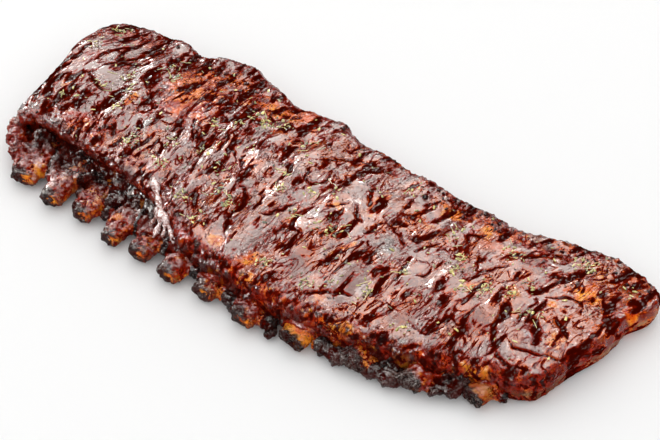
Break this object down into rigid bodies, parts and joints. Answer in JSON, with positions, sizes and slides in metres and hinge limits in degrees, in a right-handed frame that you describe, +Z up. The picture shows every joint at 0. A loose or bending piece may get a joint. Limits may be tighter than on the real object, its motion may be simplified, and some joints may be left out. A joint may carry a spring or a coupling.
{
  "type": "rack of ribs",
  "caption": "Long flat slab of glazed barbecued rib meat with rib bones running across it, their charred ends standing out along one edge.",
  "frame": {"origin": "middle of the rack in plan, on the table under it", "axes": "+X along the rack, +Y across it from the bare rib ends to the thick meat edge, +Z up"},
  "size_m": [0.436, 0.1835, 0.029],
  "materials": {
    "glazed_meat": "dark red-brown meat under a glossy uneven barbecue glaze",
    "rib_bone": "tan to amber cooked bone with charred cut ends",
    "glaze": "thick dark red glaze, wet and smooth",
    "char": "black rough char",
    "herb": "dry chopped herb, yellow-green to olive",
    "herb_stalk": "dry straw-coloured herb stalk"
  },
  "bodies": {
    "root": {"meat": "glazed_meat", "rib_bone_01": "rib_bone", "rib_bone_02": "rib_bone", "rib_bone_03": "rib_bone", "rib_bone_04": "rib_bone", "rib_bone_05": "rib_bone", "rib_bone_06": "rib_bone", "rib_bone_07": "rib_bone", "rib_bone_08": "rib_bone", "rib_bone_09": "rib_bone", "rib_bone_10": "rib_bone", "rib_bone_11": "rib_bone", "rib_bone_12": "rib_bone"}
  },
  "joints": []
}
